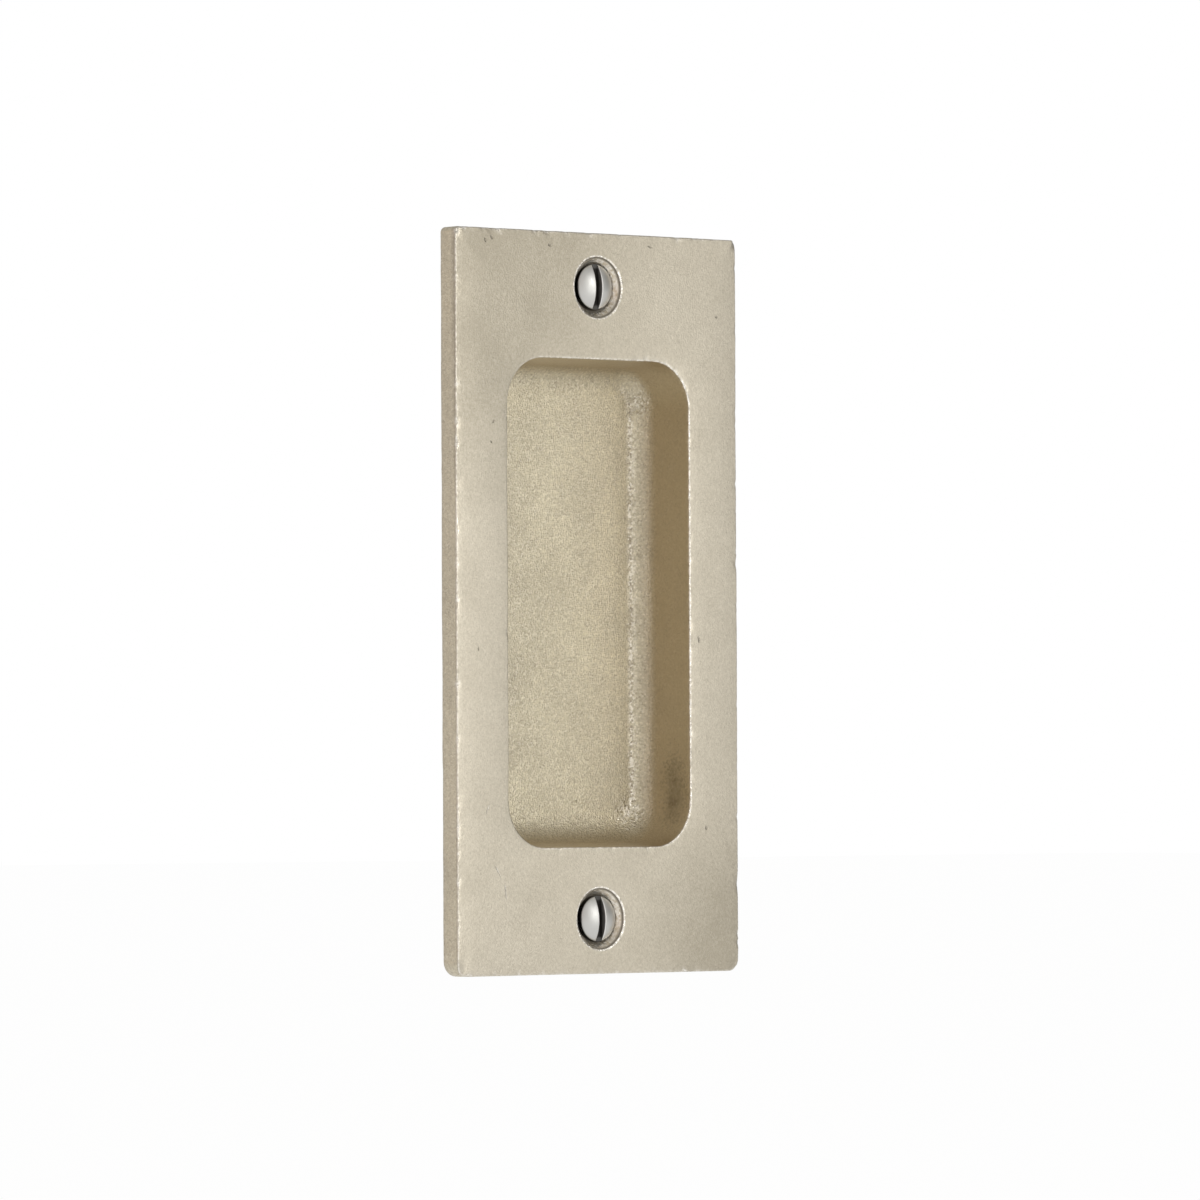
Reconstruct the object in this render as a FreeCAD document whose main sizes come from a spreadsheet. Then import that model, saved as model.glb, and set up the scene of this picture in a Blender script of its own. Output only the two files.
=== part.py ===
import FreeCAD, Part
import math
import os

import Sketcher
from FreeCAD import Vector

# A flush pull for a pocket door: a sand-cast plate with a finger cup, held by oval-head wood screws.
# It stands as in use, with +Z up. The plate's back lies on the door's face, which is the plane Y = 0,
# the front looks along -Y and the cup reaches into the door along +Y.
# The origin is midway between the screws. Lengths are millimetres and angles are degrees.
DIMENSIONS = [
    ("plate_width", 63.5, "plate, across the door"),
    ("plate_height", 127.0, "plate, up the door"),
    ("plate_thickness", 4.4, "plate, door face to front face"),
    ("plate_corner_radius", 1.0, "plate corners, seen from the front"),
    ("plate_front_radius", 0.4, "tumbled edge round the front face"),
    ("plate_back_chamfer", 0.3, "eased edge round the back"),
    ("side_margin", 11.15, "plate's long edge to the recess"),
    ("end_margin", 21.75, "plate's short edge to the recess"),
    ("screw_margin", 9.35, "plate's short edge to the nearer screw"),
    ("recess_depth", 11.9, "finger recess, front face to floor"),
    ("recess_corner_radius", 8.0, "recess corners at the front face"),
    ("recess_floor_radius", 2.8, "fillet between recess wall and floor"),
    ("recess_rim_radius", 0.35, "worn rim of the recess"),
    ("draft_angle", 5.5, "draft of the recess and cup walls"),
    ("cup_wall", 3.0, "metal beside the recess"),
    ("cup_floor", 3.0, "metal behind the recess floor"),
    ("cup_back_radius", 4.5, "fillet round the cup's back"),
    ("cup_root_radius", 1.0, "fillet between cup and plate back"),
    ("countersink_diameter", 10.6, "mouth of each screw hole"),
    ("countersink_angle", 82.0, "included angle of the seat and of the screw head"),
    ("shank_clearance", 0.6, "hole diameter over the screw shank"),
    ("seat_clearance", 0.1, "screw head off its seat, along the axis"),
    ("head_diameter", 8.2, "screw head at its rim"),
    ("head_land", 0.2, "straight rim of the screw head"),
    ("dome_height", 1.25, "oval crown above the head's rim"),
    ("slot_width", 1.4, "screwdriver slot"),
    ("slot_depth", 1.35, "slot, from the crown"),
    ("slot_lean", 1.4, "slot off the vertical"),
    ("shank_diameter", 4.17, "shank of the screw and crests of its wood thread"),
    ("under_head_radius", 2.1, "fillet between head and shank"),
    ("screw_length", 19.0, "head rim to point"),
    ("point_length", 4.6, "tapered point"),
]

# Sizes and places that follow from the dimensions, as the sheet's own formulas
DERIVED = [
    ("recess_width", "=plate_width - 2 * side_margin", "finger recess at the front face"),
    ("recess_height", "=plate_height - 2 * end_margin", "finger recess at the front face"),
    ("screw_spacing", "=plate_height - 2 * screw_margin", "between the screw centres"),
    ("recess_floor_place", "=recess_depth - plate_thickness", "Y of the recess floor"),
    ("cup_back_place", "=recess_floor_place + cup_floor", "Y of the cup's back"),
    ("cup_growth", "=cup_wall / cos(draft_angle * 1 deg) - plate_thickness * tan(draft_angle * 1 deg)",
     "cup at the door face beyond the recess at the front face, on each side"),
    ("cup_width", "=recess_width + 2 * cup_growth", "cup at the door face"),
    ("cup_height", "=recess_height + 2 * cup_growth", "cup at the door face"),
    ("cup_corner_radius", "=recess_corner_radius + cup_growth", "cup corners at the door face"),
    ("hole_diameter", "=shank_diameter + shank_clearance", "clearance hole of the screw"),
    ("seat_slope", "=tan(countersink_angle / 2 * 1 deg)", "radius lost for each millimetre of depth"),
    ("seat_depth", "=(countersink_diameter - head_diameter) / 2 / seat_slope", "front to the seated rim"),
    ("head_rim_place", "=seat_depth - seat_clearance - plate_thickness", "Y of the head's rim"),
    ("crown_to_rim", "=dome_height + head_land", "crown to the back of the head's rim"),
    ("crown_place", "=head_rim_place - crown_to_rim", "Y of the screw's crown"),
    ("head_cone_length", "=(head_diameter - shank_diameter) / 2 / seat_slope", "head's rim to shank"),
    ("neck_reach", "=under_head_radius * tan(countersink_angle / 4 * 1 deg)",
     "fillet's length along cone and shank from where they would meet"),
    ("cone_end_reach", "=neck_reach * cos(countersink_angle / 2 * 1 deg)", "same, along the screw"),
    ("cone_end_rise", "=neck_reach * sin(countersink_angle / 2 * 1 deg)", "same, across the screw"),
    ("dome_radius", "=(head_diameter ^ 2 / 4 + dome_height ^ 2) / 2 / dome_height", "oval crown"),
]

SHEET = "Dimensions"
ALIASES = [alias for alias, content, note in DIMENSIONS + DERIVED]
FIT = 1e-4  # closeness at which an edge counts as lying where it is looked for
QUARTER_TURN = math.pi / 2
HALF_TURN = math.pi
WHOLE_TURN = 360

# How a sketch names the points of a line or arc, its own origin and its two axes
START, END, CENTRE = range(1, 4)
ORIGIN = (-1, 1)
ACROSS_AXIS, UP_AXIS = range(-1, -3, -1)


def make_sheet(doc):
    """Write the dimensions as plain numbers and what follows from them as formulas, all with aliases."""
    sheet = doc.addObject("Spreadsheet::Sheet", SHEET)
    for row, (alias, content, note) in enumerate(DIMENSIONS + DERIVED, start=1):
        sheet.set(f"A{row}", alias)
        sheet.set(f"B{row}", str(content))
        sheet.setAlias(f"B{row}", alias)
        sheet.set(f"C{row}", note)
    doc.recompute()


def spell_out(formula):
    """Put the sheet's name before each alias in a formula whose words stand apart."""
    return " ".join(f"{SHEET}.{word}" if word in ALIASES else word for word in formula.split())


def bind(item, prop, formula):
    """Bind a property to a formula of the sheet's aliases."""
    item.setExpression(prop, spell_out(formula))


def value(item, formula):
    """Work out a formula of the sheet's aliases as a plain number."""
    return float(item.evalExpression(spell_out(formula)))


def add_body(doc, label):
    """Add a body whose label names the piece."""
    body = doc.addObject("PartDesign::Body", label)
    body.Label = label
    return body


def origin_part(body, role):
    """Find one of the body's own origin planes or axes."""
    return next(part for part in body.Origin.OriginFeatures if part.Role == role)


def add_sketch(body, name, plane, **offsets):
    """Add a sketch on one of the body's origin planes, moved along its own axes by formulas."""
    sketch = body.newObject("Sketcher::SketchObject", name)
    sketch.AttachmentSupport = (origin_part(body, plane), [""])
    sketch.MapMode = "FlatFace"
    for axis, formula in offsets.items():
        bind(sketch, f"AttachmentOffset.Base.{axis}", formula)
    return sketch


def add_feature(body, kind, name, sketch, **formulas):
    """Add a feature made from a sketch, make it the body's tip and bind its sizes."""
    feature = body.newObject(f"PartDesign::{kind}", name)
    feature.Profile = sketch
    for prop, formula in formulas.items():
        bind(feature, prop, formula)
    body.Tip = feature
    return feature


def hold(sketch, kind, *places):
    """Add a constraint that has no size."""
    sketch.addConstraint(Sketcher.Constraint(kind, *places))


def measure(sketch, name, formula, kind, *places):
    """Add a constraint that has a size, name it and bind it to a formula."""
    index = sketch.addConstraint(Sketcher.Constraint(kind, *places, value(sketch, formula)))
    sketch.renameConstraint(index, name)
    bind(sketch, f"Constraints.{name}", formula)


def draw_line(sketch, first, second):
    """Draw a straight line between two points."""
    sketch.addGeometry(Part.LineSegment(first, second), False)


def draw_arc(sketch, centre, radius, start, end):
    """Draw an arc from one angle to another, counter-clockwise and in radians."""
    circle = Part.Circle(centre, Vector(0, 0, 1), radius)
    sketch.addGeometry(Part.ArcOfCircle(circle, start, end), False)


def draw_rounded_rectangle(sketch, width, height, radius):
    """Draw a rounded rectangle about the sketch's origin: each side, then the corner after it."""
    half_x = value(sketch, width) / 2
    half_z = value(sketch, height) / 2
    corner = value(sketch, radius)
    in_x = half_x - corner
    in_z = half_z - corner
    sides = [
        (Vector(-in_x, -half_z, 0), Vector(in_x, -half_z, 0), Vector(in_x, -in_z, 0)),
        (Vector(half_x, -in_z, 0), Vector(half_x, in_z, 0), Vector(in_x, in_z, 0)),
        (Vector(in_x, half_z, 0), Vector(-in_x, half_z, 0), Vector(-in_x, in_z, 0)),
        (Vector(-half_x, in_z, 0), Vector(-half_x, -in_z, 0), Vector(-in_x, -in_z, 0)),
    ]
    for turn, (first, second, centre) in enumerate(sides):
        draw_line(sketch, first, second)
        start = (turn - 1) * QUARTER_TURN
        draw_arc(sketch, centre, corner, start, start + QUARTER_TURN)
    count = 2 * len(sides)
    bottom, right, top, left = range(0, count, 2)
    corners = range(1, count, 2)
    for item in range(count):
        hold(sketch, "Tangent", item, END, (item + 1) % count, START)
    for side in (bottom, top):
        hold(sketch, "Horizontal", side)
    for side in (right, left):
        hold(sketch, "Vertical", side)
    for first, second in zip(corners, corners[1:]):
        hold(sketch, "Equal", first, second)
    hold(sketch, "Symmetric", corners[0], CENTRE, corners[2], CENTRE, *ORIGIN)
    measure(sketch, "width", width, "DistanceX", left, START, right, START)
    measure(sketch, "height", height, "DistanceY", bottom, START, top, START)
    measure(sketch, "corner", radius, "Radius", corners[0])


def pad_plate(body):
    """Pad the plate from the door's face to the front."""
    sketch = add_sketch(body, "plate_outline", "XZ_Plane")
    draw_rounded_rectangle(sketch, "plate_width", "plate_height", "plate_corner_radius")
    add_feature(body, "Pad", "plate", sketch, Length="plate_thickness")


def pad_cup(body):
    """Pad the cup's outside from the door's face to its back, narrowing by the draft."""
    sketch = add_sketch(body, "cup_outline", "XZ_Plane")
    draw_rounded_rectangle(sketch, "cup_width", "cup_height", "cup_corner_radius")
    cup = add_feature(body, "Pad", "cup", sketch, Length="cup_back_place", TaperAngle="- draft_angle")
    cup.Reversed = True


def pocket_recess(body):
    """Pocket the finger recess from the front face to its floor, narrowing by the draft."""
    sketch = add_sketch(body, "recess_outline", "XZ_Plane", z="plate_thickness")
    draw_rounded_rectangle(sketch, "recess_width", "recess_height", "recess_corner_radius")
    add_feature(body, "Pocket", "recess", sketch, Length="recess_depth", TaperAngle="- draft_angle")


def drill_screw_holes(body):
    """Drill and countersink a screw hole above the recess and one below it."""
    sketch = add_sketch(body, "hole_centres", "XZ_Plane", z="plate_thickness")
    reach = value(sketch, "screw_spacing / 2")
    radius = value(sketch, "hole_diameter / 2")
    for height in (reach, -reach):
        sketch.addGeometry(Part.Circle(Vector(0, height, 0), Vector(0, 0, 1), radius), False)
    upper, lower = range(2)
    hold(sketch, "PointOnObject", upper, CENTRE, UP_AXIS)
    hold(sketch, "Symmetric", upper, CENTRE, lower, CENTRE, *ORIGIN)
    hold(sketch, "Equal", upper, lower)
    measure(sketch, "radius", "hole_diameter / 2", "Radius", upper)
    measure(sketch, "spacing", "screw_spacing", "DistanceY", lower, CENTRE, upper, CENTRE)
    body.Document.recompute()
    holes = add_feature(body, "Hole", "screw_holes", sketch, Diameter="hole_diameter")
    holes.ThreadType = "None"
    holes.DepthType = "ThroughAll"
    holes.HoleCutType = "Countersink"
    holes.HoleCutCustomValues = True
    bind(holes, "HoleCutDiameter", "countersink_diameter")
    bind(holes, "HoleCutCountersinkAngle", "countersink_angle")
    body.Document.recompute()


def lies_at(edge, place):
    """Tell whether an edge lies in the plane at one place along Y."""
    box = edge.BoundBox
    return abs(box.YMin - place) < FIT and abs(box.YMax - place) < FIT


def reach_over(edge, width, height):
    """Tell how far an edge reaches past a rectangle about the Y axis."""
    box = edge.BoundBox
    reach_x = max(box.XMax, -box.XMin)
    reach_z = max(box.ZMax, -box.ZMin)
    return max(reach_x - width / 2, reach_z - height / 2)


def dress_edges(body, kind, name, wanted, **formulas):
    """Round or chamfer every edge of the body's tip that the test picks out, and bind its size."""
    base = body.Tip
    names = [f"Edge{number}" for number, edge in enumerate(base.Shape.Edges, start=1) if wanted(edge)]
    if not names:
        raise RuntimeError(f"{name} finds no edge")
    dressing = body.newObject(f"PartDesign::{kind}", name)
    dressing.Base = (base, names)
    for prop, formula in formulas.items():
        bind(dressing, prop, formula)
    body.Tip = dressing
    body.Document.recompute()


def dress_casting(body):
    """Give the casting its fillets, in the recess and round the cup, and its worn and eased edges."""
    front = -value(body, "plate_thickness")
    floor = value(body, "recess_floor_place")
    back = value(body, "cup_back_place")
    plate = (value(body, "plate_width"), value(body, "plate_height"))
    recess = (value(body, "recess_width"), value(body, "recess_height"))
    cup = (value(body, "cup_width"), value(body, "cup_height"))

    def is_recess_rim(edge):
        return lies_at(edge, front) and reach_over(edge, *recess) < FIT

    def is_cup_root(edge):
        return lies_at(edge, 0) and abs(reach_over(edge, *cup)) < FIT

    def is_plate_outline(edge, place):
        return lies_at(edge, place) and abs(reach_over(edge, *plate)) < FIT

    dress_edges(body, "Fillet", "floor_fillet", lambda edge: lies_at(edge, floor),
                Radius="recess_floor_radius")
    dress_edges(body, "Fillet", "cup_back_fillet", lambda edge: lies_at(edge, back),
                Radius="cup_back_radius")
    dress_edges(body, "Fillet", "cup_root_fillet", is_cup_root, Radius="cup_root_radius")
    dress_edges(body, "Fillet", "recess_rim_fillet", is_recess_rim, Radius="recess_rim_radius")
    dress_edges(body, "Fillet", "plate_front_fillet", lambda edge: is_plate_outline(edge, front),
                Radius="plate_front_radius")
    dress_edges(body, "Chamfer", "plate_back_edge", lambda edge: is_plate_outline(edge, 0),
                Size="plate_back_chamfer")


def make_pull_body(doc):
    """Model the casting: plate, cup, recess and screw holes in one piece of metal."""
    body = add_body(doc, "pull_body")
    pad_plate(body)
    pad_cup(body)
    pocket_recess(body)
    drill_screw_holes(body)
    dress_casting(body)
    return body


def revolve_screw(body):
    """Revolve the upper screw, from its oval crown over the countersunk cone to its point.

    The sketch's origin is the crown. Along the screw is its first axis and the radius its second.
    """
    sketch = add_sketch(body, "screw_profile", "YZ_Plane", x="crown_place", y="screw_spacing / 2")
    stations = [
        ("rim_front", "dome_height", "head_diameter / 2"),
        ("rim_back", "crown_to_rim", "head_diameter / 2"),
        ("cone_end", "crown_to_rim + head_cone_length - cone_end_reach",
         "shank_diameter / 2 + cone_end_rise"),
        ("shank_start", "crown_to_rim + head_cone_length + neck_reach", "shank_diameter / 2"),
        ("point_start", "crown_to_rim + screw_length - point_length", "shank_diameter / 2"),
    ]
    points = [Vector(value(sketch, along), value(sketch, radius), 0) for name, along, radius in stations]
    tip = Vector(value(sketch, "crown_to_rim + screw_length"), 0, 0)
    crown = Vector(0, 0, 0)
    rim, rim_back, cone_end, shank_start, point_start = points
    draw_line(sketch, rim, rim_back)
    draw_line(sketch, rim_back, cone_end)
    neck = value(sketch, "under_head_radius")
    cone_turn = math.radians(value(sketch, "countersink_angle / 2"))
    draw_arc(sketch, shank_start + Vector(0, neck, 0), neck, -QUARTER_TURN - cone_turn, -QUARTER_TURN)
    draw_line(sketch, shank_start, point_start)
    draw_line(sketch, point_start, tip)
    draw_line(sketch, tip, crown)
    bow = value(sketch, "dome_radius")
    draw_arc(sketch, Vector(bow, 0, 0), bow, HALF_TURN - math.asin(rim.y / bow), HALF_TURN)
    neck_arc = 2
    axis_line = len(points)
    dome_arc = axis_line + 1
    for item in range(axis_line):
        hold(sketch, "Coincident", item, END, item + 1, START)
    hold(sketch, "PointOnObject", axis_line, START, ACROSS_AXIS)
    hold(sketch, "Coincident", axis_line, END, *ORIGIN)
    hold(sketch, "Coincident", dome_arc, END, *ORIGIN)
    hold(sketch, "Coincident", dome_arc, START, 0, START)
    hold(sketch, "PointOnObject", dome_arc, CENTRE, ACROSS_AXIS)
    for item, (name, along, radius) in enumerate(stations):
        measure(sketch, f"{name}_along", along, "DistanceX", *ORIGIN, item, START)
        measure(sketch, f"{name}_radius", radius, "DistanceY", *ORIGIN, item, START)
    measure(sketch, "tip_along", "crown_to_rim + screw_length", "DistanceX", *ORIGIN, axis_line, START)
    measure(sketch, "neck_radius", "under_head_radius", "Radius", neck_arc)
    screw = add_feature(body, "Revolution", "screw", sketch)
    screw.ReferenceAxis = (sketch, ["H_Axis"])
    screw.Angle = WHOLE_TURN
    body.Document.recompute()


def cut_slot(body):
    """Cut the screwdriver slot right across the head, leaning a little off the vertical."""
    sketch = add_sketch(body, "slot_outline", "XZ_Plane", y="screw_spacing / 2", z="- crown_place")
    bind(sketch, "AttachmentOffset.Rotation.Angle", "slot_lean * 1 deg")
    half_x = value(sketch, "slot_width / 2")
    half_z = value(sketch, "head_diameter / 2")
    corners = [
        Vector(-half_x, -half_z, 0),
        Vector(half_x, -half_z, 0),
        Vector(half_x, half_z, 0),
        Vector(-half_x, half_z, 0),
    ]
    for first, second in zip(corners, corners[1:] + corners[:1]):
        draw_line(sketch, first, second)
    bottom, right, top, left = sides = range(4)
    for first, second in zip(sides, (right, top, left, bottom)):
        hold(sketch, "Coincident", first, END, second, START)
    for side in (bottom, top):
        hold(sketch, "Horizontal", side)
    for side in (right, left):
        hold(sketch, "Vertical", side)
    hold(sketch, "Symmetric", bottom, START, top, START, *ORIGIN)
    measure(sketch, "width", "slot_width", "DistanceX", bottom, START, bottom, END)
    measure(sketch, "length", "head_diameter", "DistanceY", right, START, right, END)
    add_feature(body, "Pocket", "slot", sketch, Length="slot_depth")
    body.Document.recompute()


def pair_screw(body):
    """Turn the whole screw half round the Y axis, which sets its twin below the recess."""
    pair = body.newObject("PartDesign::PolarPattern", "screw_pair")
    pair.TransformMode = "Whole shape"
    pair.Axis = (origin_part(body, "Y_Axis"), [""])
    pair.Angle = WHOLE_TURN
    pair.Occurrences = 2
    body.Tip = pair
    body.Document.recompute()


def make_mounting_screws(doc):
    """Model the oval-head wood screws, as two separate solids that share one name."""
    body = add_body(doc, "mounting_screws")
    revolve_screw(body)
    cut_slot(body)
    pair_screw(body)
    return body


def check_document(doc, pieces):
    """Stop if a feature has failed, or a piece isn't as many valid solids as it should be."""
    for item in doc.Objects:
        if "Invalid" in item.State or "Error" in item.State:
            raise RuntimeError(f"{item.Name} didn't build: {item.State}")
    for body, solids in pieces:
        if body.Shape.isNull() or not body.Shape.isValid():
            raise RuntimeError(f"{body.Label} has no valid shape")
        if len(body.Shape.Solids) != solids:
            raise RuntimeError(f"{body.Label} has {len(body.Shape.Solids)} solids and should have {solids}")


def main():
    """Build the document, check it and write one file for each piece."""
    doc = FreeCAD.newDocument("pocket_door_pull")
    make_sheet(doc)
    pieces = [(make_pull_body(doc), 1), (make_mounting_screws(doc), 2)]
    doc.recompute()
    check_document(doc, pieces)
    os.makedirs("parts", exist_ok=True)
    for body, solids in pieces:
        body.Shape.exportStep(f"parts/{body.Label}.step")
        print(body.Label, solids, "solids,", round(body.Shape.Volume, 3), "cubic millimetres")


main()
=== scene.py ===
"""Looks of the pocket door pull: a tumbled sand casting in white bronze and its two oval-head screws.

Lengths in the classes are millimetres, as on the drawing. Points are worked out in metres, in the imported
part's own frame: +Z up the door, -Y out of the door and the door's face at Y = 0.
"""
import logging
import math
from dataclasses import dataclass, field
from enum import Enum

import bpy
import numpy as np
from mathutils import Matrix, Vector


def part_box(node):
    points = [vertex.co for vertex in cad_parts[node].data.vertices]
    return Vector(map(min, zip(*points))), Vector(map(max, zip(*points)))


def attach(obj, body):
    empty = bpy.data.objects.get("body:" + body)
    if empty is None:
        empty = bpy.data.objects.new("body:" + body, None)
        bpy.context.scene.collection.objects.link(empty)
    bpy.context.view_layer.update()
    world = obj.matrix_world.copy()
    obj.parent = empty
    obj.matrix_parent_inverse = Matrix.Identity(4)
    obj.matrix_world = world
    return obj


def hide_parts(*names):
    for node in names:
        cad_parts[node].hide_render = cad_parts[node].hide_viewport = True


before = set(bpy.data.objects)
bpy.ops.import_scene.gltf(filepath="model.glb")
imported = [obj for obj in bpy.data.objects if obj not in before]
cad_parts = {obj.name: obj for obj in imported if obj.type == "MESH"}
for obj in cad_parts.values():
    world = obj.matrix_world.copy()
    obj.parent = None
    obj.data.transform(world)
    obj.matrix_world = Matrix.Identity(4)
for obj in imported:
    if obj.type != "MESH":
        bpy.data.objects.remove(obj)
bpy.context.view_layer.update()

MM = 0.001
TINY = 1e-12
Array = np.ndarray
Pair = tuple[float, float]
Profile = tuple[float, ...]
log = logging.getLogger("door_pull")


class Trait(Enum):
    """What a point of a surface can show, kept as an attribute that the finishes read."""
    # Wear, with painted highlight on the recess's right foot and its right and top rim, and painted light on the
    # screw holes' seats.
    WORN = "worn"
    SANDY = "sandy"
    # Dirt, with painted shade deep in the screw holes, on their left sides, down the screw's slot and round its head.
    GRIMY = "grimy"
    TANNED = "tanned"


@dataclass(frozen=True)
class Waviness:
    """Slow unevenness in space, as a sum of plane sine waves in random directions.

    Attributes:
        seed: Seed of the directions and phases.
        length: Middle wavelength in millimetres.
        waves: Number of waves.
        spread: Shortest and longest wavelength, as shares of the middle one.
        peak: What the sum is divided by so that it seldom passes one.
    """
    seed: int
    length: float
    waves: int = 14
    spread: Pair = (0.6, 1.6)
    peak: float = 1.4

    def at(self, points: Array) -> Array:
        """Sum the waves at each point.

        Args:
            points: Places in metres, with X, Y and Z on the last axis.

        Returns:
            Values near -1 to 1, one for each point.
        """
        random = np.random.default_rng(self.seed)
        way = random.normal(size=(3, self.waves))
        way /= np.linalg.norm(way, axis=0)
        length = self.length * MM * random.uniform(*self.spread, self.waves)
        phase = random.uniform(0, 2 * np.pi, self.waves)
        total = np.sin(points @ way * (2 * np.pi / length) + phase).sum(axis=-1)
        return total / math.sqrt(self.waves) / self.peak


@dataclass
class Skin:
    """Points, traits, four-cornered and three-cornered faces of one surface, gathered block by block."""
    points: list[Array] = field(default_factory=list)
    traits: dict[Trait, list[Array]] = field(default_factory=lambda: {trait: [] for trait in Trait})
    quads: list[Array] = field(default_factory=list)
    fans: list[Array] = field(default_factory=list)
    count: int = 0

    def add_points(self, places: Array, **shown: Array | float) -> Array:
        """Add a block of points.

        Args:
            places: Block of points in metres, with X, Y and Z on the last axis.
            **shown: Strength of each trait by its name, as one number or one for each point.

        Returns:
            The numbers of the new points, in the block's own layout.
        """
        shape = places.shape[:-1]
        numbers = self.count + np.arange(int(np.prod(shape))).reshape(shape)
        self.points.append(places.reshape(-1, 3))
        for trait in Trait:
            self.traits[trait].append(np.broadcast_to(shown.get(trait.value, 0.0), shape).reshape(-1))
        self.count += numbers.size
        return numbers

    def add_grid(self, numbers: Array, kept: Array | None = None, turned: bool = False) -> None:
        """Add a face between each four neighbours of a grid of point numbers.

        Args:
            numbers: Grid of point numbers, whose faces run down, across and back up.
            kept: True for each face that is wanted, or nothing for all of them.
            turned: True to face them the other way.
        """
        faces = np.stack([numbers[:-1, :-1], numbers[1:, :-1], numbers[1:, 1:], numbers[:-1, 1:]], axis=-1)
        faces = faces[kept] if kept is not None else faces.reshape(-1, 4)
        self.quads.append(faces[:, ::-1] if turned else faces)

    def add_fan(self, row: Array, centre: int) -> None:
        """Join a row of point numbers to one point by triangles."""
        self.fans.append(np.stack([row[:-1], np.full(len(row) - 1, centre), row[1:]], axis=-1))

    def normals(self, places: Array) -> Array:
        """Find each point's normal: the sum of its faces' diagonal cross products, made one long.

        Args:
            places: Place of every point.

        Returns:
            The unit normals, one for each point.
        """
        total = np.zeros_like(places)
        for faces in map(np.concatenate, filter(None, (self.quads, self.fans))):
            cross = np.cross(places[faces[:, 2]] - places[faces[:, 0]], places[faces[:, -1]] - places[faces[:, 1]])
            for corner in faces.T:
                np.add.at(total, corner, cross)
        return total / np.maximum(np.linalg.norm(total, axis=1, keepdims=True), TINY)

    def make(self, name: str, places: Array) -> bpy.types.Object:
        """Make the mesh object.

        Args:
            name: Name of the object.
            places: Final place of every point, in metres.

        Returns:
            The object, smooth all over, with its traits as point attributes.
        """
        mesh = bpy.data.meshes.new(name)
        faces = [face for block in self.quads + self.fans for face in block.tolist()]
        mesh.from_pydata(places.tolist(), [], faces)
        mesh.shade_smooth()
        for trait, blocks in self.traits.items():
            layer = mesh.attributes.new(trait.value, "FLOAT", "POINT")
            layer.data.foreach_set("value", np.concatenate(blocks).astype(np.float32))
        piece = bpy.data.objects.new(name, mesh)
        bpy.context.scene.collection.objects.link(piece)
        return piece


def turn_between(corner: Array, back: Array, on: Array, radius: Array | float, steps: int) -> Array:
    """Round a corner of a section: the arc of that radius that touches both of its straight sides.

    The centre lies on the line that halves the corner, at radius / sin(half angle), and the spoke to the first
    side is turned evenly to the spoke to the second.

    Args:
        corner: The sharp corner, two numbers.
        back: Unit direction from the corner along the side that comes first.
        on: Unit direction from the corner along the side that comes next.
        radius: Radius, one number or one for each place round the loop.
        steps: Number of steps in the arc.

    Returns:
        Points in an array of (steps + 1, places, 2).
    """
    radius = np.atleast_1d(radius)[None, :, None]
    half = math.acos(float(np.dot(back, on))) / 2
    halving = (back + on) / np.linalg.norm(back + on)
    centre = corner + halving * radius / math.sin(half)
    first = corner + back * radius / math.tan(half) - centre
    last = corner + on * radius / math.tan(half) - centre
    sweep = math.pi - 2 * half
    turn = np.linspace(0, 1, steps + 1)[:, None, None]
    return centre + (np.sin((1 - turn) * sweep) * first + np.sin(turn * sweep) * last) / math.sin(sweep)


def blend_rows(first: Array, last: Array, shares: Array) -> Array:
    """Lay rows between two rows of points, each at its share of the way from the first to the last."""
    share = shares.reshape(-1, *[1] * first.ndim)
    return first * (1 - share) + last * share


def inner_shares(steps: int, near: Profile = ()) -> Array:
    """Share out the rows inside so many even steps, after the shares of any rows that lie nearer to the start."""
    return np.concatenate([near, np.linspace(0, 1, steps + 1)[1:-1]])


@dataclass(frozen=True)
class Outline:
    """A rounded rectangle about the Y axis: half sizes and corner radius in millimetres."""
    half_x: float
    half_z: float
    corner: float


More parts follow.
